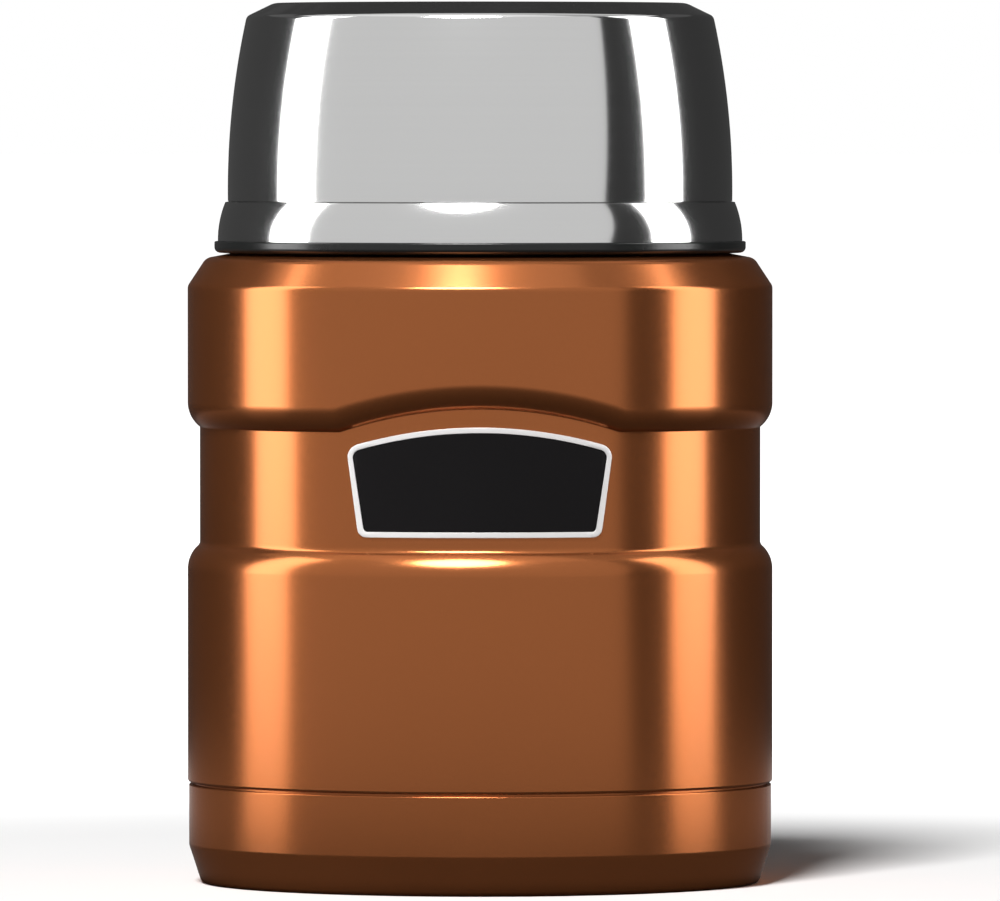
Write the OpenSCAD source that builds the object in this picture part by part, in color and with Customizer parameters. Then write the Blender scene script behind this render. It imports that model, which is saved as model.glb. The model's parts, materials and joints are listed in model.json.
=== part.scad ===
// Insulated food jar: a double-walled steel body, a screw stopper and a screw-on cup lid.
// Millimetres. Z is the jar's axis, z = 0 is the table, and the badge faces -Y.

/* [Outer body] */
// Diameter of the body wall
body_d = 94; // [92:0.5:104]
// Thickness of the outer steel sheet
sheet_t = 0.6; // [0.5:0.05:0.8]
// Height from the waist's upper edge to the shoulder
upper_h = 22.45; // [19:0.05:36]
// Width of the shoulder's bevel
shoulder_in = 3; // [2.6:0.1:3.4]
// Slope of the shoulder's bevel, from vertical
shoulder_bevel_a = 33.4; // [30:0.2:40]
// Slope of the shoulder's top, from level
shoulder_top_a = 10.4; // [8:0.2:12]
// Height of the neck above the shoulder
neck_h = 2.1; // [1.8:0.1:2.6]

/* [Waist] */
// Height of the waist's lower edge
waist_z = 54.5; // [45:0.5:56]
// Height of the waist's wall
waist_h = 18.75; // [18.5:0.25:21]
// Depth of the waist
waist_depth = 2; // [1.6:0.1:2.4]
// Radius of the beads above and below the waist
bead_r = 4.6; // [3.6:0.1:5.4]
// Rise of the arch over the badge
arch_rise = 3.75; // [2.5:0.25:4.5]
// Width of the arch over the badge
arch_w = 44.2; // [42:0.2:48]

/* [Base] */
// Height of the base cup's top edge
base_h = 15.75; // [12:0.25:20]
// Width of the groove between base cup and shell
seam_w = 0.55; // [0.4:0.05:0.8]
// How far the base cup's wall stands in from the shell's
base_step = 0.2; // [0:0.05:0.4]
// Height of the base cup's bevel
base_bevel_h = 5.7; // [4:0.1:8]
// Width of the base cup's bevel
base_bevel_w = 2.2; // [1.5:0.1:3]
// Width of the foot ring that stands on the table
foot_w = 2.4; // [2:0.1:3.5]
// Depth of the recess under the base
recess_h = 2.2; // [1.5:0.1:3]

/* [Badge] */
// Height of the badge's lower edge over the waist's
badge_rise = 2.15; // [1.1:0.05:3]
// Height of the badge at its middle
badge_h = 17.45; // [15:0.1:17.8]
// Width of the badge's lower edge
badge_low_w = 38.2; // [34:0.2:40]
// Width of the badge at its upper corners
badge_high_w = 42; // [40:0.2:43]
// Radius of the badge's top edge
badge_top_r = 61.6; // [55:0.2:80]
// Radius of the badge's corners
badge_corner_r = 1.1; // [0.6:0.1:1.5]
// Width of the badge's light border
badge_border = 0.85; // [0.6:0.05:1.2]
// Thickness of the badge plate
badge_t = 0.55; // [0.5:0.05:0.8]
// Depth of the badge's dark field below its border
badge_field_t = 0.25; // [0.15:0.05:0.3]
// Thickness of the adhesive under the badge
tape_t = 0.15; // [0.1:0.05:0.3]

/* [Inner vessel] */
// Thickness of the inner steel sheet
vessel_t = 0.5; // [0.4:0.05:0.6]
// Space between the waist's wall and the inner vessel
vacuum_gap = 2.4; // [1.6:0.1:4]
// Radius of the vessel's bottom edge
vessel_fillet = 8; // [5:0.5:12]
// Bore of the neck, at the root of its thread
neck_bore_d = 71.6; // [70:0.2:71.6]
// Width of the ledge under the stopper's seal, from the neck's bore to the throat's
ledge_w = 2.2; // [2.2:0.1:3.3]
// Thickness of the copper foil round the vessel
foil_t = 0.15; // [0.1:0.05:0.3]
// Height of the space between the outer bottom and the vessel
floor_gap = 3; // [2.8:0.1:5]
// Diameter of the getter pellet
getter_d = 8; // [6:0.5:10]

/* [Threads] */
// Number of thread starts, on the stopper and on the lid
thread_starts = 3; // [2:1:3]
// Distance between neighbouring ridges
thread_pitch = 4; // [4:0.1:4.4]
// Length of a ridge round the axis, in degrees
thread_arc = 100; // [70:5:110]
// Height of a ridge over its root
ridge_h = 1; // [0.9:0.05:1.1]
// Width of a ridge at its root
ridge_w = 1.6; // [1.2:0.1:1.6]
// Width of a ridge at its crest
ridge_tip_w = 0.9; // [0.6:0.1:1.2]

/* [Stopper] */
// Depth of the plug below the rim
plug_depth = 19.5; // [17:0.5:22]
// Wall of the stopper's mouldings
stopper_wall = 1.8; // [1.5:0.1:2]
// Height of the stopper's grip above the rim
grip_h = 14.5; // [11:0.5:16]
// Number of hollows round the grip
grip_hollows = 24; // [12:2:30]
// Depth of the hollows round the grip
grip_hollow_h = 0.7; // [0.4:0.1:0.9]
// Thickness of the seal ring
seal_h = 2.1; // [1.8:0.1:2.4]

/* [Lid] */
// Thickness of the lid's inner bowl at its foot, round the thread
liner_foot_t = 1.35; // [1.3:0.05:1.7]
// How far the steel cup's wall stands in from its lower edge
flare_in = 1.6; // [1.5:0.05:1.8]
// Height of the steel cup
lid_h = 38; // [36:0.5:50]
// Height of the flare
flare_h = 6.6; // [6.4:0.1:7.4]
// Radius of the flare's curve
flare_r = 16; // [14:0.5:22]
// Radius of the wall's slow inward curve
lid_wall_r = 130; // [110:5:300]
// Width of the bevel round the top
lid_bevel_w = 4.4; // [3:0.2:6]
// Slope of that bevel, from level
lid_bevel_a = 22.8; // [16:0.4:28]
// Thickness of the lid's steel
lid_t = 0.6; // [0.5:0.05:0.7]
// Thickness of the lid's inner bowl
liner_t = 1.4; // [1.2:0.1:1.6]
// Height of the dark ring under the lid
ring_h = 2.05; // [1.6:0.05:2.4]
// How far the dark ring stands out from the steel
ring_out = 0.55; // [0.3:0.05:0.8]

/* [Clearances] */
// Between pieces that move on each other
run_gap = 0.3; // [0.25:0.05:0.4]
// Between pieces that are pushed together
fit_gap = 0.1; // [0.05:0.05:0.15]
// Between pieces that are welded or glued
weld_gap = 0.02; // [0.01:0.01:0.04]
// Between the lid and the shoulder
shoulder_gap = 0.4; // [0.35:0.05:0.8]
// Between the two sides of a thread, seen across
thread_gap = 0.5; // [0.4:0.05:0.5]

/* [Hidden] */
$fn = 96;
arc_step = 7.5;                                     // degrees to a step on round corners
thread_step = 5;                                    // degrees to a step along a ridge
bury = 0.3;                                         // how far a ridge is rooted in its wall

body_r = body_d / 2;
waist_r = body_r - waist_depth;
bead_h = sqrt(pow(bead_r, 2) - pow(bead_r - waist_depth, 2));
waist_top_z = waist_z + waist_h;
shoulder_z = waist_top_z + upper_h;
badge_z = waist_z + badge_rise;

// Base, from the table upwards
cup_r = body_r - base_step;
cup_fillet = 2;
foot_fillet = 1;
recess_fillet = 0.8;
seam_z = base_h + seam_w;
seam_edge_r = sheet_t + 0.05;
skirt_r = cup_r - sheet_t - fit_gap;                // the shell goes on down inside the cup
floor_z = recess_h + sheet_t;
seal_head_h = 0.7;
seal_hole_r = 1.5;
dimple_h = 0.9;
dimple_r = 5;
dimple_fillet = 0.6;
bottom_z = floor_z + run_gap + seal_head_h + dimple_h;
bottom_fillet = 2.5;
bottom_rim_h = 8;

// Shoulder and neck. The neck's bore is the lead for all that screws together above it
shoulder_r = body_r - shoulder_in;
shoulder_top_z = shoulder_z + shoulder_in / tan(shoulder_bevel_a);
shoulder_low_fillet = 0.8;
shoulder_top_fillet = 1.5;
neck_bore_r = neck_bore_d / 2;
neck_gap = 0.7;
neck_fillet = 0.8;
shell_neck_r = neck_bore_r + vessel_t + neck_gap + sheet_t;
function shoulder_height(r) = shoulder_top_z + (shoulder_r - r) * tan(shoulder_top_a);
neck_z = shoulder_height(shell_neck_r);
rim_z = neck_z + neck_h;
throat_r = neck_bore_r - ledge_w;

// Threads
lead = thread_starts * thread_pitch;
climb = lead * thread_arc / 360;
lane = thread_pitch / 2;                            // a ridge runs midway between two of its mate's
low_ridge_h = ridge_h - 0.1;                        // ridges of the neck and of the stopper's band
ridge_land = 0.2;                                   // plain wall beyond the last ridge
rim_clear = 0.8;
neck_thread_z = rim_z - rim_clear - ridge_w / 2 - climb;

// Stopper
flange_z = rim_z + run_gap;
band_r = shell_neck_r + run_gap;
band_h = 5.6;
plug_r = neck_bore_r - low_ridge_h - thread_gap;
skirt_z = neck_thread_z - lane - ridge_w / 2 - ridge_land;
spigot_r = plug_r - stopper_wall - fit_gap;
spigot_h = 5.4;
seal_r = neck_bore_r - low_ridge_h - run_gap - fit_gap;
seal_z = skirt_z - run_gap - seal_h;
seal_lift = 0.2;
seal_slope_h = 0.5;
plug_ledge_z = seal_z - seal_lift;                  // ledge of the plug, under the seal
hollow_neck_z = plug_ledge_z - 1;                   // here the plug's hollow begins to widen
hollow_wide_z = hollow_neck_z - 1.2;
tip_r = throat_r - run_gap - fit_gap;               // the plug's end, inside the throat
tip_fillet = 2.5;
grip_z = rim_z + grip_h;
grip_in = 0.5;                                      // the grip stands in from the band by this
grip_r = band_r - grip_in;
grip_land = 1;
grip_rim_w = 2.3;
hollow_r = 2.6;                                     // radius of the hollows round the grip
dish_rise = 5.1;
dish_z = rim_z + dish_rise;
dish_draft = 0.5;
cap_floor_z = dish_z - stopper_wall;
plug_z = rim_z - plug_depth;

// Inner vessel, by its vacuum side
vessel_r = waist_r - sheet_t - vacuum_gap;
vessel_z = bottom_z + sheet_t + floor_gap;
seal_gap = 0.18;
ledge_h = 1.2;
ledge_a = atan(ledge_h / ledge_w);
ledge_z = seal_z - seal_gap + ledge_h + vessel_t * (tan(ledge_a) - 1 / cos(ledge_a));
ledge_fillet = 0.7;
throat_h = 1.8;
throat_fillet = 2;
vessel_shoulder_h = 6;
vessel_shoulder_fillet = 5;
foil_gap = 0.25;
foil_a = 356;                                       // the foil's ends don't quite meet
foil_top_z = ledge_z - vessel_shoulder_h - vessel_shoulder_fillet;

// Lid
liner_root_r = band_r + low_ridge_h + thread_gap;
liner_gap = 0.25;
liner_z = shoulder_height(liner_root_r) + shoulder_gap;
ring_lip_h = 1.8;
ring_lip_t = 0.35;
ring_top_gap = 0.05;
ring_low_fillet = 0.9;
ring_top_fillet = 0.2;
lid_low_r = liner_root_r + liner_foot_t + run_gap + ring_lip_t + liner_gap + lid_t;
lid_wall_top_r = lid_low_r - flare_in;
ring_r = lid_low_r + ring_out;
ring_in_r = lid_low_r - lid_t - liner_gap - ring_lip_t;
ring_z = shoulder_height(ring_in_r) + shoulder_gap;
lid_z = ring_z + ring_h + ring_top_gap;
crease_z = lid_z + flare_h;
crease_w = 0.1;                                     // half the height of the crease over the flare
bulge_rise = 1.3;
bulge_z = crease_z + bulge_rise;                    // here the steel cup's wall is upright
lid_top_z = lid_z + lid_h;
corner_z = lid_top_z - lid_bevel_w * tan(lid_bevel_a);
corner_fillet = 0.7;
lid_top_fillet = 3;
liner_top_drop = 1;
lid_thread_rise = 0.9;
lid_thread_z = flange_z + lid_thread_rise;

// ---- Outlines ----

function unit(v) = v / norm(v);
function flat(p) = [p[0], p[1]];

// Points along an arc, both ends included
function arc(centre, r, from, to) =
    let (steps = max(2, ceil(abs(to - from) / arc_step)))
    [for (i = [0:steps]) let (a = from + (to - from) * i / steps)
        centre + r * [cos(a), sin(a)]];

// The arc that rounds corner p on the way from one point to the next
function corner_arc(before, p, after, r) =
    let (u = unit(before - p), v = unit(after - p), half = acos(u * v) / 2,
         centre = p + unit(u + v) * r / sin(half),
         start = p + u * r / tan(half) - centre,
         from = atan2(start[1], start[0]),
         turn = sign(cross(-u, v)) * (180 - 2 * half))
    arc(centre, r, from, from + turn);

// A line of [x, y] or [x, y, corner radius] points with its corners rounded
function rounded(points, closed = false) =
    let (n = len(points))
    [for (i = [0:n - 1])
        let (p = points[i], end = !closed && (i == 0 || i == n - 1))
        each (len(p) < 3 || end ? [flat(p)]
            : corner_arc(flat(points[(i + n - 1) % n]), flat(p), flat(points[(i + 1) % n]), p[2]))];

function outward(a, b) = unit([b[1] - a[1], a[0] - b[0]]);

// The line moved sideways by t, to the left of its direction
function inset(line, t) =
    let (n = len(line))
    [for (i = [0:n - 1])
        let (before = outward(line[max(i - 1, 0)], line[max(i, 1)]),
             after = outward(line[min(i, n - 2)], line[min(i + 1, n - 1)]))
        line[i] - t * (before + after) / (1 + before * after)];

function reversed(list) = [for (i = [len(list) - 1:-1:0]) list[i]];

// The line without points that repeat the one before
function distinct(line) =
    [for (i = [0:len(line) - 1]) if (i == 0 || norm(line[i] - line[max(i - 1, 0)]) > 0.001) line[i]];

// The closed outline of a sheet of thickness t, from the line of its outer face
function sheet(line, t) = let (face = distinct(line)) concat(face, reversed(inset(face, t)));

module turned(points) {
    rotate_extrude() polygon(points);
}

// A solid through rings of points. A ring's first half faces its second half reversed
module swept(rings) {
    n = len(rings[0]);
    last = (len(rings) - 1) * n;
    polyhedron(
        points = [for (ring = rings) each ring],
        faces = concat(
            [for (k = [0:n / 2 - 2]) [n - 1 - k, n - 2 - k, k + 1, k]],
            [for (k = [0:n / 2 - 2]) [last + k, last + k + 1, last + n - 2 - k, last + n - 1 - k]],
            [for (i = [0:len(rings) - 2], k = [0:n - 1], half = [0, 1])
                let (a = i * n + k, b = i * n + (k + 1) % n)
                half == 0 ? [a, b + n, a + n] : [a, b, b + n]]));
}

function around(p, a) = [p[0] * cos(a), p[0] * sin(a), p[1]];

// ---- Threads ----

// One helical ridge, from its first angle on. It stands out if crest is over root, else in
module ridge(root, crest, z) {
    side = sign(crest - root);
    steps = ceil(thread_arc / thread_step);
    fade_steps = 3;
    swept([for (i = [0:steps])
        let (a = thread_arc * i / steps, mid = z + lead * a / 360,
             run = min(1, i / fade_steps, (steps - i) / fade_steps),
             foot = root - side * bury,
             tip = root + side * (run * (abs(crest - root) + bury / 2) - bury / 2),
             foot_half = ridge_w / 2, tip_half = ridge_tip_w / 2,
             section = [[foot, mid - foot_half], [tip, mid - tip_half],
                        [tip, mid + tip_half], [foot, mid + foot_half]])
        [for (p = side > 0 ? section : reversed(section)) around(p, a)]]);
}

module thread(root, crest, z) {
    for (k = [0:thread_starts - 1]) rotate(360 / thread_starts * k) ridge(root, crest, z);
}

// ---- Outer body ----

// Profile of the wall from the lower bead to the upper one, raised over the badge by rise
function waist_line(rise) =
    let (turn = acos((bead_r - waist_depth) / bead_r), bead_x = body_r - bead_r)
    concat(arc([bead_x, waist_z - bead_h], bead_r, 0, turn),
           arc([bead_x, waist_top_z + bead_h + rise], bead_r, -turn, 0));

shell_line = concat(
    rounded([[skirt_r, floor_z + bottom_rim_h / 2], [skirt_r, seam_z], [body_r, seam_z, seam_edge_r],
             [body_r, waist_z - bead_h]]),
    waist_line(0),
    rounded([[body_r, waist_top_z + bead_h], [body_r, shoulder_z, shoulder_low_fillet],
             [shoulder_r, shoulder_top_z, shoulder_top_fillet], [shell_neck_r, neck_z, neck_fillet],
             [shell_neck_r, rim_z - vessel_t - weld_gap]]));

// The window that the arched panel fills, and the panel's profile at angle a from the front
window_spare_a = 2;
window_spare_h = 0.6;
window_a = asin(arch_w / 2 / waist_r) + window_spare_a;
window_low_z = waist_top_z - window_spare_h;
window_high_z = waist_top_z + arch_rise + bead_h + window_spare_h;
lap = 0.4;
lap_a = 0.5;
panel_sink = 0.02;                                  // the panel's edges lie this deep in the wall
panel_steps = 32;

function arch_height(x) =
    let (r = (pow(arch_w / 2, 2) + pow(arch_rise, 2)) / 2 / arch_rise)
    abs(x) >= arch_w / 2 ? 0 : arch_rise - r + sqrt(r * r - x * x);

function panel_ring(a) =
    let (turn = acos((bead_r - waist_depth) / bead_r),
         z = waist_top_z + bead_h + arch_height(waist_r * sin(a)),
         line = concat([[waist_r, window_low_z - lap]],
                       arc([body_r - bead_r, z], bead_r, -turn, 0),
                       [[body_r, window_high_z + lap]]))
    [for (p = sheet(line, sheet_t - 2 * panel_sink)) around(p - [panel_sink, 0], a - 90)];

module arched_panel() {
    reach = window_a + lap_a;
    swept([for (i = [0:panel_steps]) panel_ring(reach * (2 * i / panel_steps - 1))]);
}

module outer_shell() color("peru") {
    difference() {
        turned(sheet(shell_line, sheet_t));
        rotate(-90 - window_a) rotate_extrude(angle = 2 * window_a)
            translate([waist_r - 2 * sheet_t, window_low_z])
                square([waist_depth + 4 * sheet_t, window_high_z - window_low_z]);
    }
    arched_panel();
}

module outer_bottom() color("darkgray")
    turned(sheet(rounded([
        [seal_hole_r, bottom_z - dimple_h], [dimple_r, bottom_z - dimple_h, dimple_fillet],
        [dimple_r + 2 * dimple_h, bottom_z, dimple_fillet],
        [skirt_r - sheet_t - weld_gap, bottom_z, bottom_fillet],
        [skirt_r - sheet_t - weld_gap, bottom_z + bottom_rim_h]]), sheet_t));

module base_cup() color("peru")
    turned(sheet(rounded([
        [0, recess_h], [cup_r - base_bevel_w - foot_w - recess_h / 2, recess_h, foot_fillet],
        [cup_r - base_bevel_w - foot_w, 0, recess_fillet], [cup_r - base_bevel_w, 0, foot_fillet],
        [cup_r, base_bevel_h, cup_fillet], [cup_r, base_h]]), sheet_t));

module vacuum_seal_plug() color("slategray") {
    under_z = bottom_z - dimple_h;
    shank_r = seal_hole_r - weld_gap;
    turned([[0, under_z - seal_head_h], [2 * seal_hole_r - seal_head_h, under_z - seal_head_h],
            [2 * seal_hole_r, under_z - weld_gap], [shank_r, under_z - weld_gap],
            [shank_r, under_z + sheet_t], [0, under_z + sheet_t]]);
}

// ---- Inner vessel and what the vacuum holds ----

vessel_line = rounded([
    [0, vessel_z], [vessel_r, vessel_z, vessel_fillet],
    [vessel_r, ledge_z - throat_h - ledge_h - vessel_shoulder_h, vessel_shoulder_fillet],
    [throat_r + vessel_t, ledge_z - throat_h - ledge_h, throat_fillet],
    [throat_r + vessel_t, ledge_z - ledge_h, ledge_fillet],
    [neck_bore_r + vessel_t, ledge_z, ledge_fillet], [neck_bore_r + vessel_t, rim_z - vessel_t],
    [shell_neck_r, rim_z - vessel_t]]);

module inner_vessel() color("silver") {
    turned(sheet(vessel_line, vessel_t));
    thread(neck_bore_r, neck_bore_r - low_ridge_h, neck_thread_z);
}

module radiation_foil() color("chocolate")
    translate([0, 0, vessel_z + vessel_fillet])
        rotate_extrude(angle = foil_a)
            translate([vessel_r + foil_gap, 0])
                square([foil_t, foil_top_z - vessel_z - vessel_fillet]);

getter_x = 20;
clip_t = 0.3;
clip_lip = 0.6;                                     // how far the clip's ends reach over the pellet
getter_h = floor_gap - 4 * clip_t - 2 * weld_gap - clip_lip;

module getter_clip() color("gray") {
    width = getter_d * 0.6;
    span = getter_d + 2 * fit_gap;
    wall_h = getter_h + 2 * clip_t + 2 * fit_gap;
    lip = 2 * clip_lip + clip_t;
    translate([getter_x, 0, bottom_z + sheet_t + weld_gap]) {
        translate([-span / 2 - clip_t, -width / 2, 0]) cube([span + 2 * clip_t, width, clip_t]);
        for (side = [-1, 1]) {
            translate([side * (span + clip_t) / 2 - clip_t / 2, -width / 2, 0])
                cube([clip_t, width, wall_h]);
            translate([side * (span / 2 - clip_lip) - lip / 2, -width / 2, wall_h - clip_t])
                cube([lip, width, clip_t]);
        }
    }
}

module getter_pellet() color("dimgray")
    translate([getter_x, 0, bottom_z + sheet_t + weld_gap + clip_t + fit_gap / 2])
        cylinder(d = getter_d, h = getter_h);

// ---- Badge ----

tape_r = waist_r + weld_gap;
plate_r = tape_r + tape_t + weld_gap;
field_r = plate_r + badge_t - badge_field_t;        // floor of the plate, under its dark field
field_sink = 0.1;                                   // the field lies this deep below the border
tape_margin = 0.4;
badge_small_r = 0.3;
badge_steps = 16;

// The badge's outline in a front view, drawn in by a margin
function badge_line(margin) =
    let (centre_z = badge_z + badge_h - badge_top_r, r = badge_top_r - margin,
         low = badge_low_w / 2 - margin, high = badge_high_w / 2 - margin,
         high_a = asin(high / r), corner = max(badge_corner_r - margin * 0.6, badge_small_r),
         top = [for (i = [1:badge_steps - 1]) let (a = high_a * (1 - 2 * i / badge_steps))
                [r * sin(a), centre_z + r * cos(a)]])
    rounded(concat([[-low, badge_z + margin, corner], [low, badge_z + margin, corner],
                    [high, centre_z + r * cos(high_a), corner]], top,
                   [[-high, centre_z + r * cos(high_a), corner]]), closed = true);

// A slab of the badge's outline, bent round the waist between two radii
module badge_slab(inner, outer, margin) {
    intersection() {
        rotate(-90 - window_a) rotate_extrude(angle = 2 * window_a)
            translate([inner, badge_z - 1]) square([outer - inner, badge_h + 2]);
        rotate([90, 0, 0]) linear_extrude(body_r + 2) polygon(badge_line(margin));
    }
}

module badge_tape() color("dimgray") badge_slab(tape_r, tape_r + tape_t, tape_margin);

module badge_plate() color("gainsboro") difference() {
    badge_slab(plate_r, plate_r + badge_t, 0);
    badge_slab(field_r, field_r + badge_t, badge_border);
}

module badge_field() color("black")
    badge_slab(field_r + weld_gap, plate_r + badge_t - field_sink, badge_border + weld_gap);

// ---- Stopper ----

module stopper_cap() color("dimgray") {
    inner = plug_r - stopper_wall;
    grip_low_z = flange_z + band_h + run_gap;
    difference() {
        turned(rounded([
            [inner, skirt_z], [plug_r, skirt_z, 0.3], [plug_r, flange_z], [band_r, flange_z, 0.4],
            [band_r, flange_z + band_h], [grip_r, grip_low_z], [grip_r, grip_z, 1.2],
            [grip_r - grip_rim_w, grip_z, 0.9], [grip_r - grip_rim_w - dish_draft, dish_z, 1],
            [0, dish_z], [0, cap_floor_z], [inner, cap_floor_z]], closed = true));
        for (k = [0:grip_hollows - 1]) rotate(360 / grip_hollows * k)
            translate([grip_r + hollow_r - grip_hollow_h, 0, flange_z + band_h + grip_land])
                cylinder(r = hollow_r, h = grip_h);
    }
    thread(plug_r, plug_r + ridge_h, neck_thread_z - lane);
    thread(band_r, band_r + low_ridge_h, lid_thread_z);
}

module stopper_plug() color("dimgray") {
    inner = spigot_r - stopper_wall;
    turned(rounded([
        [0, plug_z], [tip_r, plug_z, tip_fillet], [tip_r, plug_ledge_z, 0.2], [spigot_r, plug_ledge_z],
        [spigot_r, skirt_z + spigot_h], [inner, skirt_z + spigot_h], [inner, hollow_neck_z],
        [tip_r - stopper_wall, hollow_wide_z], [tip_r - stopper_wall, plug_z + stopper_wall, 1.5],
        [0, plug_z + stopper_wall]], closed = true));
}

module stopper_foam() color("ivory") {
    low = plug_z + stopper_wall + fit_gap;
    neck = spigot_r - stopper_wall - 2 * fit_gap;
    wide = tip_r - stopper_wall - 2 * fit_gap;
    turned(rounded([[0, low], [wide, low, 1.6], [wide, hollow_wide_z - fit_gap],
                    [neck, hollow_neck_z - 2 * fit_gap], [neck, cap_floor_z - fit_gap],
                    [0, cap_floor_z - fit_gap]], closed = true));
}

module stopper_seal() color("whitesmoke") {
    inner = spigot_r + run_gap / 2;
    turned(rounded([[inner, seal_z], [throat_r - seal_lift, seal_z, 0.2],
                    [seal_r, seal_z + seal_slope_h, 0.3], [seal_r, seal_z + seal_h, 0.4],
                    [inner, seal_z + seal_h]], closed = true));
}

// ---- Lid ----

// Radius of the steel cup's wall above its flare, at height z
function lid_wall(z) = lid_wall_top_r - lid_wall_r + sqrt(pow(lid_wall_r, 2) - pow(z - bulge_z, 2));

wall_steps = 8;
function wall_curve(in, from, to) =
    [for (i = [0:wall_steps]) let (z = from + (to - from) * i / wall_steps) [lid_wall(z) - in, z]];

lid_line = concat(
    arc([lid_low_r - flare_r, lid_z], flare_r, 0, asin((flare_h - crease_w / 2) / flare_r)),
    wall_curve(0, crease_z + crease_w, corner_z - corner_fillet),
    rounded([[lid_wall(corner_z - corner_fillet), corner_z - corner_fillet],
             [lid_wall(corner_z), corner_z, corner_fillet],
             [lid_wall(corner_z) - lid_bevel_w, lid_top_z, lid_top_fillet], [0, lid_top_z]]));

module lid_shell() color("lightgray") turned(sheet(lid_line, lid_t));

module lid_inner_bowl() color("dimgray") {
    out = lid_t + liner_gap;
    foot_r = liner_root_r + liner_foot_t;
    top_z = corner_z - liner_top_drop;
    turned(concat(
        [[liner_root_r, liner_z], [foot_r, liner_z], [foot_r, lid_z + ring_lip_h + run_gap],
         [lid_wall(crease_z) - out, crease_z]],
        wall_curve(out, bulge_z, top_z),
        [[0, top_z], [0, top_z - liner_t]],
        reversed(wall_curve(out + liner_t, bulge_z, top_z - liner_t)),
        [[lid_wall(bulge_z) - out - liner_t, crease_z], [liner_root_r, crease_z - ridge_h + run_gap]]));
    thread(liner_root_r, liner_root_r - ridge_h, lid_thread_z - lane);
}

module lid_ring() color("#2d302f") {
    lip_r = ring_in_r + ring_lip_t;
    turned(rounded([
        [ring_in_r, ring_z], [ring_r, ring_z, ring_low_fillet],
        [ring_r, ring_z + ring_h, ring_top_fillet], [lip_r, ring_z + ring_h],
        [lip_r, lid_z + ring_lip_h], [ring_in_r, lid_z + ring_lip_h]], closed = true));
}

outer_shell();
outer_bottom();
base_cup();
vacuum_seal_plug();
inner_vessel();
radiation_foil();
getter_clip();
getter_pellet();
badge_tape();
badge_plate();
badge_field();
stopper_cap();
stopper_plug();
stopper_foam();
stopper_seal();
lid_shell();
lid_inner_bowl();
lid_ring();
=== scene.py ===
"""Looks of an insulated food jar: the copper-coloured body, its badge, the steel cup lid and the
dark ring under it are built here in mesh code, and the rest of the jar keeps its CAD nodes.
Lengths on the jar are in millimetres, and those in the studio round it are in metres. The jar
stands on z = 0 and the badge faces -Y."""
import json
import math

import bmesh
import bpy
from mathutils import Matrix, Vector


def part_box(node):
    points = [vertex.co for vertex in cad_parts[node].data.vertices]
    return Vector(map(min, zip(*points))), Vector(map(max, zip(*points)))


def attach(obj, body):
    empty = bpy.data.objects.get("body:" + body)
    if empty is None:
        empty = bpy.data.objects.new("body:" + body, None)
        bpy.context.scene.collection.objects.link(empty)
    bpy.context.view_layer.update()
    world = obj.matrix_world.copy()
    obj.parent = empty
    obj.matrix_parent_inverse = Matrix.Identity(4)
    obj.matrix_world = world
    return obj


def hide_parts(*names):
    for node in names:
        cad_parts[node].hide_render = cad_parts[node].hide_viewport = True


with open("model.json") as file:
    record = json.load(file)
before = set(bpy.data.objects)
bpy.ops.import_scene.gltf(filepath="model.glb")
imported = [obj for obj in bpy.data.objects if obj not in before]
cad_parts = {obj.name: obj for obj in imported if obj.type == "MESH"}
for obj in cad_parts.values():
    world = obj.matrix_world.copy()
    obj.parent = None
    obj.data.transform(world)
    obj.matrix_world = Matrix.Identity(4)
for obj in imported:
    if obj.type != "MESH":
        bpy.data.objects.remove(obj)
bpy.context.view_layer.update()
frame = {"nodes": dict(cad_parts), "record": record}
MM = 0.001


def low(node_name):
    """The lowest corner of a CAD node."""
    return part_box(node_name)[0] / MM


def high(node_name):
    """The highest corner of a CAD node."""
    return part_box(node_name)[1] / MM


# ---- Outlines ---------------------------------------------------------------------------------

def arc(centre, r, start, end, step=3.0):
    """Points (r, z) along an arc, angles in degrees, both ends included."""
    n = max(3, math.ceil(abs(end - start) / step))
    angles = [math.radians(start + (end - start) * i / n) for i in range(n + 1)]
    return [(centre[0] + r * math.cos(a), centre[1] + r * math.sin(a)) for a in angles]


def rounded(points, step=5.0):
    """A line of (r, z) or (r, z, radius) points with its inner corners rounded."""
    line = []
    for i, p in enumerate(points):
        if len(p) < 3 or i in (0, len(points) - 1):
            line.append((p[0], p[1]))
            continue
        here = Vector(p[:2])
        back = (Vector(points[i - 1][:2]) - here).normalized()
        on = (Vector(points[i + 1][:2]) - here).normalized()
        half = back.angle(on) / 2
        centre = here + (back + on).normalized() * p[2] / math.sin(half)
        first = here + back * p[2] / math.tan(half) - centre
        start = math.degrees(math.atan2(first.y, first.x))
        turn = math.copysign(180 - 2 * math.degrees(half), -back.x * on.y + back.y * on.x)
        line += arc(centre, p[2], start, start + turn, step)
    return line


def distinct(line, apart=0.004):
    """The line without points that lie on the one before them."""
    kept = [line[0]]
    for p in line[1:]:
        if math.dist(p[:2], kept[-1][:2]) > apart:
            kept.append(p)
    return kept


def across(p, q):
    """The unit vector to the right of the way from p to q."""
    way = Vector(q[:2]) - Vector(p[:2])
    return Vector((way.y, -way.x)).normalized()


def inset(line, t):
    """The line moved sideways by t, to the left of its direction. A third value is kept."""
    last = len(line) - 1
    blunt = 0.2          # keeps the corner of a hairpin from running far out
    moved = []
    for i, p in enumerate(line):
        before = across(line[max(i - 1, 0)], line[max(i, 1)])
        after = across(line[min(i, last - 1)], line[min(i + 1, last)])
        q = Vector(p[:2]) - t * (before + after) / max(1 + before.dot(after), blunt)
        moved.append((q.x, q.y) + tuple(p[2:]))
    return moved


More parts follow.
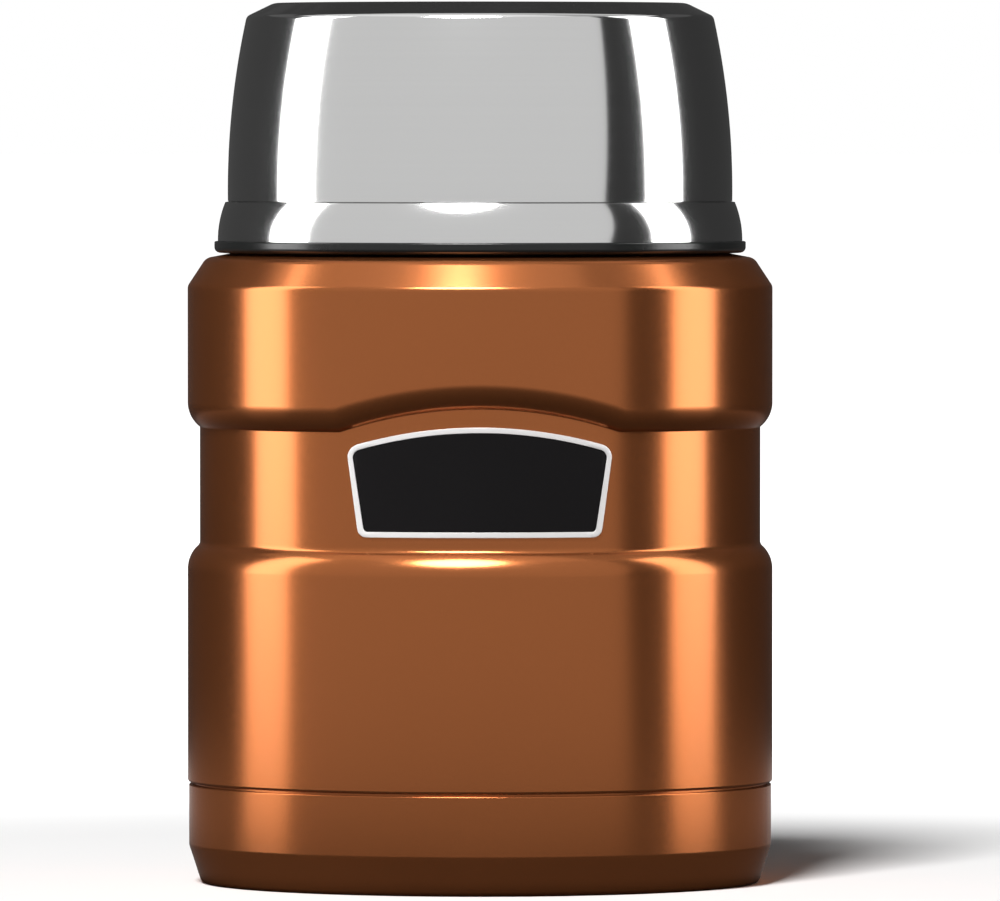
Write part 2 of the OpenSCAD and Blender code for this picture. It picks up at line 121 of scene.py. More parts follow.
def subdivided(line, longest=6.0, near=0.3):
    """The line with extra points in its long straight parts, the outer ones near the corners."""
    out = [line[0]]
    for p, q in zip(line, line[1:]):
        d = math.dist(p[:2], q[:2])
        if d > longest:
            n = math.ceil(d / longest)
            cuts = [near / d] + [k / n for k in range(1, n)] + [1 - near / d]
            out += [tuple(a + (b - a) * t for a, b in zip(p, q)) for t in cuts]
        out.append(q)
    return out


# ---- Meshes -----------------------------------------------------------------------------------

def placed(name, data):
    """A new object of the scene, made of a mesh, a lamp or a camera."""
    obj = bpy.data.objects.new(name, data)
    bpy.context.scene.collection.objects.link(obj)
    return obj


def sweep(name, loop, angles, lift=lambda a: 0.0, sharp=32.0):
    """A closed solid of revolution. loop holds (r, z) or (r, z, share) points; a point goes up by
    its share of lift(a). The normals are those of the exact surface, split at sharp corners."""
    loop = [(p[0], p[1], p[2] if len(p) > 2 else 0.0) for p in loop]
    count, rings = len(loop), len(angles)
    axis_r, least_r, tiny = 1e-6, 0.05, 1e-4
    lifts = [lift(a) for a in angles]
    slopes = [(lift(a + tiny) - lift(a - tiny)) / (2 * tiny) for a in angles]

    verts, index = [], {}
    for i, a in enumerate(angles):
        for k, (r, z, share) in enumerate(loop):
            if r < axis_r and i:
                index[i, k] = index[0, k]
                continue
            index[i, k] = len(verts)
            verts.append((r * math.cos(a) * MM, r * math.sin(a) * MM, (z + lifts[i] * share) * MM))

    def across_step(i, k, dr, dz):
        """The surface's normal at a point, for a step of the loop there and as long as the step."""
        r, slope = max(loop[k][0], least_r), slopes[i] * loop[k][2]
        c, s = math.cos(angles[i]), math.sin(angles[i])
        n = Vector((r * c * dz - slope * dr * s, r * s * dz + slope * dr * c, -r * dr))
        return n.normalized() * math.hypot(dr, dz) if n.length else Vector()

    normals = {}
    for i in range(rings):
        flat = [(r, z + lifts[i] * share) for r, z, share in loop]
        for k, here in enumerate(flat):
            last, following = flat[k - 1], flat[(k + 1) % count]
            before = across_step(i, k, here[0] - last[0], here[1] - last[1])
            after = across_step(i, k, following[0] - here[0], following[1] - here[1])
            if before.length and after.length and math.degrees(before.angle(after)) < sharp:
                before = after = before + after
            normals[i, k] = (before.normalized(), after.normalized())

    faces, face_normals = [], []
    for i in range(rings):
        j = (i + 1) % rings
        for k in range(count):
            m = (k + 1) % count
            face, corner_normals = [], []
            for ring, point, side in ((i, k, 1), (j, k, 1), (j, m, 0), (i, m, 0)):
                if index[ring, point] not in face:
                    face.append(index[ring, point])
                    corner_normals.append(tuple(normals[ring, point][side]))
            if len(face) > 2:
                faces.append(face)
                face_normals += corner_normals
    mesh = bpy.data.meshes.new(name)
    mesh.from_pydata(verts, [], faces)
    mesh.polygons.foreach_set("use_smooth", [True] * len(faces))
    mesh.normals_split_custom_set(face_normals)
    return placed(name, mesh)


def turned(name, loop, steps=360):
    """A plain solid of revolution."""
    return sweep(name, loop, [2 * math.pi * i / steps for i in range(steps)])


# ---- Outer shell and base cup -----------------------------------------------------------------

sheet = 0.6                           # thickness of the steel
body_r = high("outer_shell").x
rim_z = high("outer_shell").z
neck_inset = 5.1                      # from the dark ring's edge in to the neck
neck_r = -low("lid_ring").x - neck_inset

cup_inset, skirt_gap = 0.2, 0.1       # the base cup's wall in the shell's, and the skirt in the cup
skirt_r = body_r - cup_inset - sheet - skirt_gap
skirt_z = 7.0
seam_z = 16.22
seam_edge_r = 0.45

waist_low, waist_high = 54.45, 73.25  # heights of the waist's two edges
waist_depth = 1.96
waist_r = body_r - waist_depth
low_crease_r, high_crease_r = 1.05, 0.2
bead_r = 5.0                          # the body rounds into the waist with this radius
bead_turn = math.degrees(math.acos((bead_r - waist_depth) / bead_r))
bead_h = math.sqrt(bead_r ** 2 - (bead_r - waist_depth) ** 2)

shoulder_z = 95.9                     # here the body's wall turns in to its bevel
shoulder_inset = 2.95
shoulder_r = body_r - shoulder_inset
bevel_lean, top_slope = math.radians(33.4), math.radians(10.4)
bevel_top_z = shoulder_z + shoulder_inset / math.tan(bevel_lean)
neck_z = bevel_top_z + (shoulder_r - neck_r) * math.tan(top_slope)
shoulder_edge_r, bevel_top_r, neck_foot_r = 1.4, 2.0, 0.8

arch_w, arch_rise = 44.2, 3.75
arch_soft = 0.12                      # within this height its ends blend into the level bead


def arch(a):
    """Lift of the upper bead at angle a, an arc over the badge with soft ends."""
    if math.sin(a) > 0:
        return 0.0
    x = waist_r * math.cos(a)
    r = (arch_w ** 2 / 4 + arch_rise ** 2) / 2 / arch_rise
    h = arch_rise - r + math.sqrt(r * r - x * x)
    if h > arch_soft:
        return h
    return 0.0 if h < -arch_soft else (h + arch_soft) ** 2 / 4 / arch_soft


def shell_line():
    """The shell's outline from the foot of its skirt to its rim. The arch lifts the points that
    have a third value."""
    bead_middle_r = body_r - bead_r
    lower = arc((bead_middle_r, waist_low - bead_h), bead_r, 0, bead_turn, 2.5)
    upper = arc((bead_middle_r, waist_high + bead_h), bead_r, -bead_turn, 0, 2.5)
    skirt = rounded([(skirt_r, skirt_z), (skirt_r, seam_z), (body_r, seam_z, seam_edge_r),
                     (body_r, seam_z + 2)])
    # the creases at the waist's two edges stand in for the beads' last points there
    low_crease = rounded([lower[-5], (waist_r, waist_low, low_crease_r),
                          (waist_r, waist_low + 1)], 6)[1:-1]
    high_crease = rounded([(waist_r, waist_high - 1), (waist_r, waist_high, high_crease_r),
                           upper[2]], 10)[1:-1]
    line = skirt + [(body_r, waist_low - bead_h - 1)] + lower[:-4] + low_crease
    line += [(r, z, 1.0) for r, z in high_crease + upper[2:]]
    line += rounded([(body_r, waist_high + bead_h + 5), (body_r, shoulder_z, shoulder_edge_r),
                     (shoulder_r, bevel_top_z, bevel_top_r), (neck_r, neck_z, neck_foot_r),
                     (neck_r, rim_z)], 4)
    return line


def shell_angles():
    """Every degree, every half degree over the badge, and closer together where the arch ends."""
    front = 270
    arch_end = round(math.degrees(math.asin(arch_w / 2 / waist_r)), 1)
    turns = [float(d) for d in range(360)]
    turns += [front + d + 0.5 for d in range(-28, 28)]
    for end in (front - arch_end, front + arch_end):
        turns += [end + 0.12 * k for k in range(-12, 13)]
    kept = []
    for t in sorted(round(t, 3) for t in turns):
        if not kept or t - kept[-1] > 0.05:
            kept.append(t)
    return [math.radians(t) for t in kept]


def outer_shell():
    """The copper-coloured wall, with its waist, the arch over the badge, the shoulder and the neck."""
    line = subdivided(distinct(shell_line()))
    return sweep("body_shell", line + inset(line, sheet)[::-1], shell_angles(), lift=arch)


def base_cup():
    """The cup under the seam, which stands on a narrow foot ring."""
    cup_r = high("base_cup").x
    rim_r, rim_lift = 0.16, 0.12          # the rim's edge, and how far it goes up into the seam
    rim_start = high("base_cup").z + rim_lift - rim_r
    rim = [(cup_r, rim_start)] + arc((cup_r - rim_r, rim_start), rim_r, 0, 80, 12)
    recess_z, side_z, wall_z = 2.2, 6.1, 12
    foot_in, foot_out = cup_r - 4.6, cup_r - 2.0
    recess_r = foot_in - 1.1              # the bottom is level up to here, inside the foot
    line = rounded([(0, recess_z), (recess_r, recess_z, 1), (foot_in, 0, 0.8), (foot_out, 0, 1.0),
                    (cup_r, side_z, 2), (cup_r, wall_z)]) + rim[:1]
    line = subdivided(distinct(line))
    return turned("base_shell", line + rim[1:] + inset(line, sheet)[::-1])


# ---- Lid --------------------------------------------------------------------------------------

def lid_cup():
    """The steel cup: a flared foot, a fine groove, a slightly curved wall and a bevelled top."""
    z0, top, lid_r = low("lid_shell").z, high("lid_shell").z, high("lid_shell").x
    flare_r = 16
    wall_r, wall_curve_r = lid_r - 1.6, 130
    crease, bulge = z0 + 6.18, z0 + 7.9   # heights of the groove and of the wall's widest place
    bevel_w, bevel_slope = 4.4, math.radians(25.9)
    bevel_edge_r, top_edge_r = 1.2, 3
    corner = top - bevel_w * math.tan(bevel_slope)

    def wall(z):
        return wall_r - wall_curve_r + math.sqrt(wall_curve_r ** 2 - (z - bulge) ** 2)

    # the flare ends in a fine narrow groove under the wall
    groove_depth, lip_r = 0.16, 0.05
    flare_top, wall_foot = crease - 0.11, crease + 0.09
    flare_end = math.degrees(math.asin((flare_top - z0) / flare_r))
    flare = arc((lid_r - flare_r, z0), flare_r, -0.5, flare_end, 1.5)
    steps = 24
    heights = [wall_foot + (corner - bevel_edge_r - wall_foot) * i / steps for i in range(steps + 1)]
    rise = [(wall(z), z) for z in heights]
    crown = rounded([rise[-1], (wall(corner), corner, bevel_edge_r),
                     (wall(corner) - bevel_w, top, top_edge_r), (0, top)], 3)
    groove = rounded([flare[-2], (*flare[-1], lip_r), (rise[0][0] - groove_depth, crease, 0.01),
                      (*rise[0], lip_r), rise[1]], 15)
    outer = subdivided(distinct(flare[:-1] + groove[1:-1] + rise[1:] + crown[1:]))
    inner = inset(subdivided(distinct(flare + rise + crown[1:])), sheet)
    return turned("cup_lid", outer + inner[::-1])


def dark_ring():
    """The ring under the cup, with a thin collar inside it."""
    z0, top, r = low("lid_ring").z, high("lid_ring").z, high("lid_ring").x
    step_z = z0 + 1.85                    # the edge that shows ends here, under the cup
    inner_r = r - 1.75
    collar_r = inner_r + 0.35
    loop = rounded([(inner_r, z0), (r, z0, 0.9), (r, step_z, 0.2), (collar_r, step_z),
                    (collar_r, top), (inner_r, top)], 8)
    return turned("collar_ring", loop)


# ---- Badge ------------------------------------------------------------------------------------

badge_z = low("badge_plate").z
badge_h, badge_low_w, badge_high_w = 17.42, 38.36, 42.16
badge_r = 69.0                        # radius of its arched upper edge
badge_high_corner_r, badge_low_corner_r = 2.1, 1.5
badge_middle = 17.6                   # half the width between its corners
plate_gap, plate_t = 0.03, 0.4        # the plate's distance from the waist, and its thickness
border_w, border_h = 0.87, 0.25
border_edge = 0.08                    # size of the border's rounded edges
field_gap, field_depth = 0.02, 0.1    # the field lies this much inside and below the border


def badge_outline(margin):
    """The badge's outline in a front view, drawn in by a margin, counterclockwise."""
    centre_z, r = badge_z + badge_h - badge_r, badge_r - margin
    low_x, high_x = badge_low_w / 2 - margin, badge_high_w / 2 - margin
    high_corner, low_corner = badge_high_corner_r - 0.9 * margin, badge_low_corner_r - 0.9 * margin
    # the upper edge's arc stops where its corners begin
    turn, span = math.asin(high_x / r), 1 - 0.9 * high_corner / high_x
    steps = 48
    top = [(r * math.sin(turn * t), centre_z + r * math.cos(turn * t))
           for t in [span * (1 - 2 * i / steps) for i in range(steps + 1)]]
    end_z = centre_z + r * math.cos(turn)
    ring = [top[-1], (-high_x, end_z, high_corner), (-low_x, badge_z + margin, low_corner),
            (low_x, badge_z + margin, low_corner), (high_x, end_z, high_corner), top[0]]
    return rounded(ring, 6) + top[1:-1]


def columns(margin):
    """Pairs of heights of that outline over x: [(x, bottom, top), ...] from left to right."""
    ring = badge_outline(margin)
    widest = max(p[0] for p in ring)
    middle = badge_middle - margin
    middle_steps, corner_steps = 14, 30
    xs = [middle * i / middle_steps for i in range(middle_steps)]
    xs += [middle + (widest - middle) * math.sin(math.pi / 2 * i / corner_steps)
           for i in range(corner_steps + 1)]
    xs = [-x for x in xs[:0:-1]] + xs
    ends = widest - 1e-6                  # the outermost columns still cut the outline
    upright = 1e-9
    out = []
    for x in xs:
        x = max(-ends, min(ends, x))
        cuts = []
        for p, q in zip(ring, ring[1:] + ring[:1]):
            if (p[0] - x) * (q[0] - x) <= 0 and abs(p[0] - q[0]) > upright:
                t = (x - p[0]) / (q[0] - p[0])
                cuts.append(p[1] + (q[1] - p[1]) * t)
        out.append((x, min(cuts), max(cuts)))
    return out


def bent(x, z, r):
    """A point of a front view on the front of an upright cylinder, in metres."""
    return (x * MM, -math.sqrt(r * r - x * x) * MM, z * MM)


def badge_slab(name, section):
    """A slab bent round the waist. section is its cross-section as (margin, radius) points, from
    the middle of its back, out round the edge and in to the middle of its face."""
    bm = bmesh.new()
    loops = []
    for margin, r in section:
        cols = columns(margin)
        lower = [bm.verts.new(bent(x, z, r)) for x, z, _ in cols]
        upper = [bm.verts.new(bent(x, z, r)) for x, _, z in cols]
        loops.append(lower + upper[::-1])
    n = len(loops[0])
    for a, b in zip(loops, loops[1:]):
        for i in range(n):
            j = (i + 1) % n
            bm.faces.new((a[i], a[j], b[j], b[i]))
    for ring, is_face in ((loops[0], False), (loops[-1], True)):
        for i in range(n // 2 - 1):
            quad = (ring[i], ring[i + 1], ring[n - 2 - i], ring[n - 1 - i])
            bm.faces.new(quad if is_face else quad[::-1])
    bmesh.ops.remove_doubles(bm, verts=bm.verts, dist=2e-7)
    bmesh.ops.dissolve_degenerate(bm, edges=bm.edges, dist=1e-7)
    sharp = math.radians(38)
    for edge in bm.edges:
        edge.smooth = len(edge.link_faces) == 2 and edge.calc_face_angle(0) < sharp
    for f in bm.faces:
        f.smooth = True
    mesh = bpy.data.meshes.new(name)
    bm.to_mesh(mesh)
    bm.free()
    obj = placed(name, mesh)
    weighted = obj.modifiers.new("weighted normals", "WEIGHTED_NORMAL")
    weighted.keep_sharp = True
    weighted.weight = 100
    return obj


def badge_pieces():
    """The plate with its raised border, and the dark field that lies a little lower inside it."""
    back = waist_r + plate_gap
    face = back + plate_t
    ground = face - border_h
    plate = badge_slab("badge_frame", [
        (0.0, back), (0.0, face - border_edge), (0.02, face - 0.02), (0.07, face),
        (border_w - border_edge, face), (border_w - 0.03, face - 0.02),
        (border_w, face - border_edge), (border_w, ground)])
    field_in, field_face = border_w + field_gap, face - field_depth
    field = badge_slab("badge_panel", [
        (field_in, ground + field_gap), (field_in, field_face - 0.06),
        (field_in + 0.03, field_face - 0.02), (field_in + 0.09, field_face)])
    return plate, field


# ---- Shader nodes -----------------------------------------------------------------------------

def empty_tree(owner):
    """The node tree of a material or a world, with nothing in it."""
    owner.use_nodes = True
    owner.node_tree.nodes.clear()
    return owner.node_tree


def node(tree, kind, inputs=(), **settings):
    """A new node with its settings. inputs are (socket, value or output socket) pairs."""
    made = tree.nodes.new(kind)
    for key, value in settings.items():
        setattr(made, key, value)
    for socket, value in inputs:
        if isinstance(value, bpy.types.NodeSocket):
            tree.links.new(value, made.inputs[socket])
        else:
            made.inputs[socket].default_value = value
    return made


def maths(tree, operation, a, b):
    return node(tree, "ShaderNodeMath", ((0, a), (1, b)), operation=operation).outputs[0]


def ramp(tree, value, start, end):
    """A level that goes smoothly from start to end, which are (value, level) pairs."""
    return node(tree, "ShaderNodeMapRange", (
        ("Value", value), ("From Min", start[0]), ("From Max", end[0]), ("To Min", start[1]),
        ("To Max", end[1])), interpolation_type="SMOOTHSTEP").outputs[0]


def band(tree, value, start, end, soft):
    """1 between start and end and 0 outside, with soft sides."""
    rise = ramp(tree, value, (start - soft, 0.0), (start + soft, 1.0))
    fall = ramp(tree, value, (end - soft, 1.0), (end + soft, 0.0))
    return maths(tree, "MULTIPLY", rise, fall)


# ---- Materials --------------------------------------------------------------------------------

def turned_place(tree, place):
    """Coordinates for lines that run round the axis, on walls and on the top alike."""
    parts = node(tree, "ShaderNodeSeparateXYZ", ((0, place),)).outputs
    level = node(tree, "ShaderNodeCombineXYZ", (("X", parts["X"]), ("Y", parts["Y"]))).outputs[0]
    radius = node(tree, "ShaderNodeVectorMath", ((0, level),), operation="LENGTH").outputs["Value"]
    return node(tree, "ShaderNodeCombineXYZ", (("X", radius), ("Z", parts["Z"]))).outputs[0]


def material(name, colour, rough, metallic=0.0, spread=0.04, grain=900.0, bump=0.02, tint=0.06,
             stretch=(1, 1, 1), lines=False, spec=0.5, edge_tint=(1, 1, 1)):
    """A surface with fine grain: its colour, its roughness and its relief all vary a little.
    With lines, the grain runs round the axis as on turned metal."""
    mat = bpy.data.materials.new(name)
    tree = empty_tree(mat)
    place = node(tree, "ShaderNodeTexCoord").outputs["Object"]
    grain_place = node(tree, "ShaderNodeMapping", (
        ("Vector", turned_place(tree, place) if lines else place), ("Scale", stretch))).outputs[0]
    fine = node(tree, "ShaderNodeTexNoise", (
        ("Vector", grain_place), ("Scale", grain), ("Detail", 3.0))).outputs["Fac"]
    broad = node(tree, "ShaderNodeTexNoise", (
        ("Vector", place), ("Scale", 35.0), ("Detail", 2.0))).outputs["Fac"]
    mean = maths(tree, "MULTIPLY", maths(tree, "ADD", fine, broad), 0.5)
    least, most = 0.3, 0.7                # the noise seldom leaves this range

    shades = node(tree, "ShaderNodeValToRGB", (("Fac", mean),))
    dark, pale = shades.color_ramp.elements
    dark.position, pale.position = least, most
    dark.color = [c * (1 - tint) for c in colour] + [1]
    pale.color = [min(1, c * (1 + tint)) for c in colour] + [1]
    gloss = node(tree, "ShaderNodeMapRange", (
        ("Value", mean), ("From Min", least), ("From Max", most), ("To Min", rough - spread),
        ("To Max", rough + spread))).outputs[0]
    relief = node(tree, "ShaderNodeBump", (
        ("Height", fine), ("Strength", bump), ("Distance", 0.0001))).outputs[0]
    bsdf = node(tree, "ShaderNodeBsdfPrincipled", (
        ("Base Color", shades.outputs["Color"]), ("Metallic", metallic), ("Roughness", gloss),
        ("Normal", relief), ("Specular IOR Level", spec), ("Specular Tint", (*edge_tint, 1))))
    node(tree, "ShaderNodeOutputMaterial", (("Surface", bsdf.outputs[0]),))
    return mat


MATERIALS = {
    "copper_finish": material(
        "copper finish", (0.293, 0.0935, 0.0312), rough=0.19, metallic=0.85, spread=0.015,
        grain=2600, bump=0.03, tint=0.04, spec=0.3, edge_tint=(0.8, 0.62, 0.55)),
    "raw_steel": material(
        "raw steel", (0.52, 0.51, 0.5), rough=0.3, metallic=1.0, spread=0.05,
        grain=500, bump=0.05, tint=0.05, stretch=(1, 1, 6), lines=True),
    "solder": material(
        "solder", (0.42, 0.43, 0.44), rough=0.5, metallic=1.0, spread=0.1,
        grain=700, bump=0.3, tint=0.1),
    "copper_foil": material(
        "copper foil", (0.7, 0.29, 0.14), rough=0.28, metallic=1.0, spread=0.1,
        grain=160, bump=0.5, tint=0.08),
    "getter_metal": material(
        "getter metal", (0.12, 0.12, 0.12), rough=0.7, spread=0.1,
        grain=1500, bump=0.3, tint=0.2),
    "adhesive": material(
        "adhesive", (0.09, 0.09, 0.09), rough=0.6, spread=0.1,
        grain=900, bump=0.2, tint=0.1),
    "badge_border": material(
        "badge border", (0.69, 0.675, 0.67), rough=0.42, metallic=0.3, spread=0.03,
        grain=2500, bump=0.02, tint=0.02, spec=0.3),
    "badge_black": material(
        "badge black", (0.0052, 0.0046, 0.005), rough=0.35, spread=0.04,
        grain=2500, bump=0.02, tint=0.1, spec=0.08),
    "dark_plastic": material(
        "dark plastic", (0.03, 0.032, 0.032), rough=0.38, spread=0.06,
        grain=1800, bump=0.08, tint=0.1),
    "white_foam": material(
        "white foam", (0.78, 0.78, 0.75), rough=0.85, spread=0.05,
        grain=1200, bump=0.5, tint=0.05),
    "silicone": material(
        "silicone", (0.55, 0.56, 0.55), rough=0.45, spread=0.06,
        grain=900, bump=0.05, tint=0.04),
    "polished_steel": material(
        "polished steel", (0.53, 0.53, 0.527), rough=0.095, metallic=1.0, spread=0.012,
        grain=1500, bump=0.008, tint=0.012, lines=True),
    "ring_plastic": material(
        "ring plastic", (0.008, 0.0088, 0.0086), rough=0.2, spread=0.05,
        grain=1600, bump=0.05, tint=0.1, spec=0.27),
}

for part in frame["record"]["subparts"]:
    for place in frame["nodes"][part["node"]].material_slots:
        place.material = MATERIALS[part["material_slot"]]

badge_frame, badge_panel = badge_pieces()
for piece, cad_node, body, slot in (
        (outer_shell(), "outer_shell", "jar", "copper_finish"),
        (base_cup(), "base_cup", "jar", "copper_finish"),
        (lid_cup(), "lid_shell", "lid", "polished_steel"),
        (dark_ring(), "lid_ring", "lid_collar", "ring_plastic"),
        (badge_frame, "badge_plate", "jar", "badge_border"),
        (badge_panel, "badge_field", "jar", "badge_black")):
    piece.data.materials.append(MATERIALS[slot])
    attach(piece, body)
    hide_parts(cad_node)


# ---- World and floor --------------------------------------------------------------------------

def studio_world():
    """White to the camera, in reflections and through glass, and otherwise a faint even light."""
    world = bpy.data.worlds.new("studio")
    tree = empty_tree(world)
    white = (1, 1, 1, 1)
    backdrop = node(tree, "ShaderNodeBackground", (("Color", white), ("Strength", 1.0))).outputs[0]
    fill = node(tree, "ShaderNodeBackground", (("Color", white), ("Strength", 0.075))).outputs[0]
    path = node(tree, "ShaderNodeLightPath").outputs
    direct = maths(tree, "MAXIMUM", path["Is Camera Ray"], path["Is Glossy Ray"])
    seen = maths(tree, "MAXIMUM", direct, path["Is Transmission Ray"])
    both = node(tree, "ShaderNodeMixShader", ((0, seen), (1, fill), (2, backdrop))).outputs[0]
    node(tree, "ShaderNodeOutputWorld", (("Surface", both),))
    bpy.context.scene.world = world


def seen_floor(tree, reach, path):
    """Plain diffuse white that keeps the jar's shadow and fades into the white background further
    off. It throws little of its light back on the jar."""
    white, held_back = 0.93, 0.65
    dimmed = maths(tree, "MULTIPLY", path["Is Diffuse Ray"], held_back)
    pale = maths(tree, "SUBTRACT", white, dimmed)
    matte = node(tree, "ShaderNodeBsdfDiffuse", (("Color", pale),)).outputs[0]
    fade = maths(tree, "MULTIPLY", ramp(tree, reach, (0.15, 0.0), (0.5, 1.0)), path["Is Camera Ray"])
    glow = node(tree, "ShaderNodeEmission", (("Strength", fade),)).outputs[0]
    return node(tree, "ShaderNodeAddShader", ((0, matte), (1, glow))).outputs[0]


def painted_floor_reflection(tree, place, reach):
    """The floor as gloss sees it, a painted glow: painted shade near the jar and behind it, with the
    painted shade and painted light of what stands round the jar."""
    # painted shade: the glow is dimmer near the jar and behind it
    ahead = maths(tree, "MULTIPLY", ramp(tree, reach, (0.06, 0.13), (0.55, 1.0)),
                  ramp(tree, reach, (0.3, 0.87), (4.0, 1.0)))
    behind = maths(tree, "MULTIPLY", ramp(tree, reach, (0.06, 0.15), (0.3, 0.5)),
                   ramp(tree, reach, (0.36, 1.0), (0.5, 0.1)))
    # the azimuth in radians, 0 on the badge's side and positive to the right
    parts = node(tree, "ShaderNodeSeparateXYZ", ((0, place),)).outputs
    turn = maths(tree, "ARCTAN2", parts["X"], maths(tree, "MULTIPLY", parts["Y"], -1.0))
    aside = maths(tree, "ABSOLUTE", turn, 0.0)
    level = node(tree, "ShaderNodeMix", (
        (0, ramp(tree, aside, (1.79, 0.0), (1.96, 1.0))), (2, ahead), (3, behind)),
        data_type="FLOAT").outputs[0]
    # painted shade in front of the right flag
    shade = maths(tree, "MULTIPLY", band(tree, turn, 1.05, 1.38, 0.05),
                  ramp(tree, reach, (0.15, 0.0), (0.5, 0.85)))
    shaded = maths(tree, "MULTIPLY", level, maths(tree, "SUBTRACT", 1.0, shade))
    # painted light in front of the strip boxes, which grows towards them
    painted_strip_light = maths(tree, "MULTIPLY", band(tree, aside, 1.36, 1.765, 0.04),
                 band(tree, reach, 0.15, 1.0, 0.06))
    strip_glow = maths(tree, "SUBTRACT", maths(tree, "MULTIPLY", reach, 5.9), 0.4)
    lit = maths(tree, "ADD", shaded, maths(tree, "MULTIPLY", painted_strip_light, strip_glow))
    # like any smooth floor it mirrors most at a flat angle, and a painted grey glow is left at a steep
    # one
    fresnel = node(tree, "ShaderNodeFresnel", (("IOR", 1.45),)).outputs[0]
    flat = ramp(tree, fresnel, (0.1, 0.25), (0.76, 1.0))
    painted_grey = ramp(tree, reach, (0.056, 0.14), (0.066, 0.08))
    mirrored = maths(tree, "MULTIPLY", maths(tree, "SUBTRACT", lit, painted_grey), flat)
    glossed = maths(tree, "ADD", painted_grey, mirrored)
    # painted shade right under the foot's edge, where hardly any light reaches the floor
    strength = maths(tree, "MULTIPLY", glossed, ramp(tree, reach, (0.0445, 0.05), (0.049, 1.0)))
    return node(tree, "ShaderNodeEmission", (("Strength", strength),)).outputs[0]


def floor():
    """A wide pale floor that gloss sees as a painted glow, otherwise than the camera does."""
    half = 40.0
    mesh = bpy.data.meshes.new("floor")
    mesh.from_pydata([(-half, -half, 0), (half, -half, 0), (half, half, 0), (-half, half, 0)], [],
                     [(0, 1, 2, 3)])
    obj = placed("floor", mesh)
    mat = bpy.data.materials.new("pale floor")
    tree = empty_tree(mat)
    place = node(tree, "ShaderNodeTexCoord").outputs["Object"]
    # the distance from the jar's axis
    reach = node(tree, "ShaderNodeVectorMath", ((0, place),), operation="LENGTH").outputs["Value"]
    path = node(tree, "ShaderNodeLightPath").outputs
    both = node(tree, "ShaderNodeMixShader", (
        (0, path["Is Glossy Ray"]), (1, seen_floor(tree, reach, path)),
        (2, painted_floor_reflection(tree, place, reach)))).outputs[0]
    node(tree, "ShaderNodeOutputMaterial", (("Surface", both),))
    mesh.materials.append(mat)
    return obj


# ---- Lamps and cards --------------------------------------------------------------------------

middle_z = 0.07           # the height that lamps and cards are set round


def around(az, el, distance, from_z=middle_z):
    """A place round the jar. Azimuth 0 is the camera's side, and it grows to the right."""
    a, e = math.radians(az), math.radians(el)
    return (distance * math.sin(a) * math.cos(e), -distance * math.cos(a) * math.cos(e),
            from_z + distance * math.sin(e))


def area_light(name, az, el, distance, width, height, radiance, aim_z=middle_z, shape="RECTANGLE",
               only=None):
    """A soft lamp aimed at the jar. Its power follows from its size and how bright it looks."""
    light = bpy.data.lights.new(name, "AREA")
    light.shape = shape
    light.size, light.size_y = width, height
    area = width * height * (math.pi / 4 if shape == "ELLIPSE" else 1)
    light.energy = radiance * math.pi * area
    obj = placed(name, light)
    obj.location = around(az, el, distance, aim_z)
    look = Vector((0, 0, aim_z)) - obj.location
    obj.rotation_euler = look.to_track_quat("-Z", "Y").to_euler()
    obj.visible_camera = False
    obj.visible_diffuse = only != "glossy"
    obj.visible_glossy = only != "diffuse"
    return obj


def spare(lamp, obj):
    """Keep that lamp's light off obj."""
    kept_out = bpy.data.collections.new(lamp.name + " off")
    kept_out.objects.link(obj)
    kept_out.collection_objects[0].light_linking.link_state = "EXCLUDE"
    lamp.light_linking.receiver_collection = kept_out


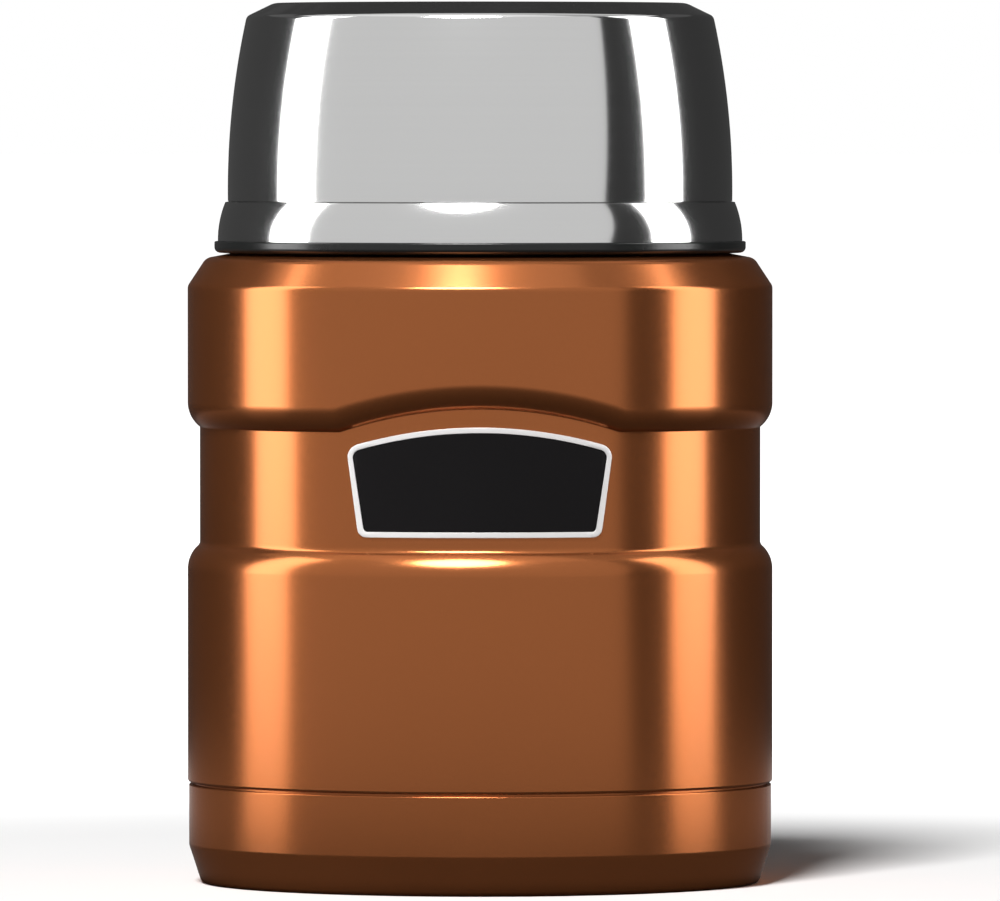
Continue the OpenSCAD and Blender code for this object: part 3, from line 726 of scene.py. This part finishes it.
def dome_card(name, az, el, level, distance=1.6, lean=0.0):
    """A card bent round the jar that is seen only in reflections, from az[0] to az[1] and el[0] to
    el[1]. Its first side leans by that many degrees of azimuth from its foot to its top."""
    n = 12
    verts = []
    for i in range(n + 1):
        for j in range(n + 1):
            start = az[0] + lean * j / n
            verts.append(around(start + (az[1] - start) * i / n,
                                el[0] + (el[1] - el[0]) * j / n, distance))
    faces = [(i * (n + 1) + j, (i + 1) * (n + 1) + j, (i + 1) * (n + 1) + j + 1, i * (n + 1) + j + 1)
             for i in range(n) for j in range(n)]
    mesh = bpy.data.meshes.new(name)
    mesh.from_pydata(verts, [], faces)
    mat = bpy.data.materials.new(name)
    tree = empty_tree(mat)
    glow = node(tree, "ShaderNodeEmission", (("Strength", level),)).outputs[0]
    node(tree, "ShaderNodeOutputMaterial", (("Surface", glow),))
    mesh.materials.append(mat)
    obj = placed(name, mesh)
    obj.visible_camera = obj.visible_diffuse = obj.visible_shadow = False
    obj.visible_transmission = obj.visible_volume_scatter = False


studio_world()
ground = floor()
# strip boxes beside the jar, from the floor up to about 45 degrees, that cast no light on the floor
strip_far, strip_h, strip_z = 1.0, 1.09, 0.555
for name, az, width, radiance in (("left strip", -91.8, 0.418, 6.9), ("right strip", 91.95, 0.421, 6.3)):
    spare(area_light(name, az, 0, strip_far, width, strip_h, radiance, strip_z), ground)
# the key's glow on the floor, and the round lamp that shows in the gloss
area_light("key", -16, 46, 4.0, 0.9, 1.2, 64.0, only="diffuse")
area_light("key disc", -10.5, 49, 1.3, 0.65, 0.65, 33.0, shape="ELLIPSE", only="glossy")

# dark drapes beside and behind the jar
dome_card("right front flag", (58, 82), (-2, 48), level=0.055, lean=10)
dome_card("left back flag", (-172, -103), (-2, 38.5), level=0.075)
dome_card("right back flag", (103, 172), (-2, 39.5), level=0.055)
dome_card("left high drape", (-124, -172), (38.5, 58), level=0.06, lean=-24)
dome_card("right high drape", (124, 172), (39.5, 58), level=0.045, lean=24)
dome_card("left shoulder card", (-158, -103), (27, 38.5), level=0.15, distance=1.55)
dome_card("right shoulder card", (103, 158), (27, 39.5), level=0.12, distance=1.55)
dome_card("high back flag", (164, 196), (-2, 60), level=0.06)
# the bright ceiling
dome_card("ceiling", (-105, 62), (52, 89), level=1.35, distance=1.7)
dome_card("right ceiling", (62, 112), (50, 85), level=0.65, distance=1.7)

# ---- Camera -----------------------------------------------------------------------------------

camera_x, camera_far, camera_z = 0.0032, 2.270, 0.1236
camera_tilt = 1.368       # degrees down from level

camera = bpy.data.cameras.new("camera")
camera.lens = 508.4
camera.sensor_width = 36.0
camera.clip_start, camera.clip_end = 0.05, 100.0
viewer = placed("camera", camera)
viewer.location = (camera_x, -camera_far, camera_z)
viewer.rotation_euler = (math.radians(90 - camera_tilt), 0, 0)
bpy.context.scene.camera = viewer
bpy.context.scene.view_settings.view_transform = "Standard"
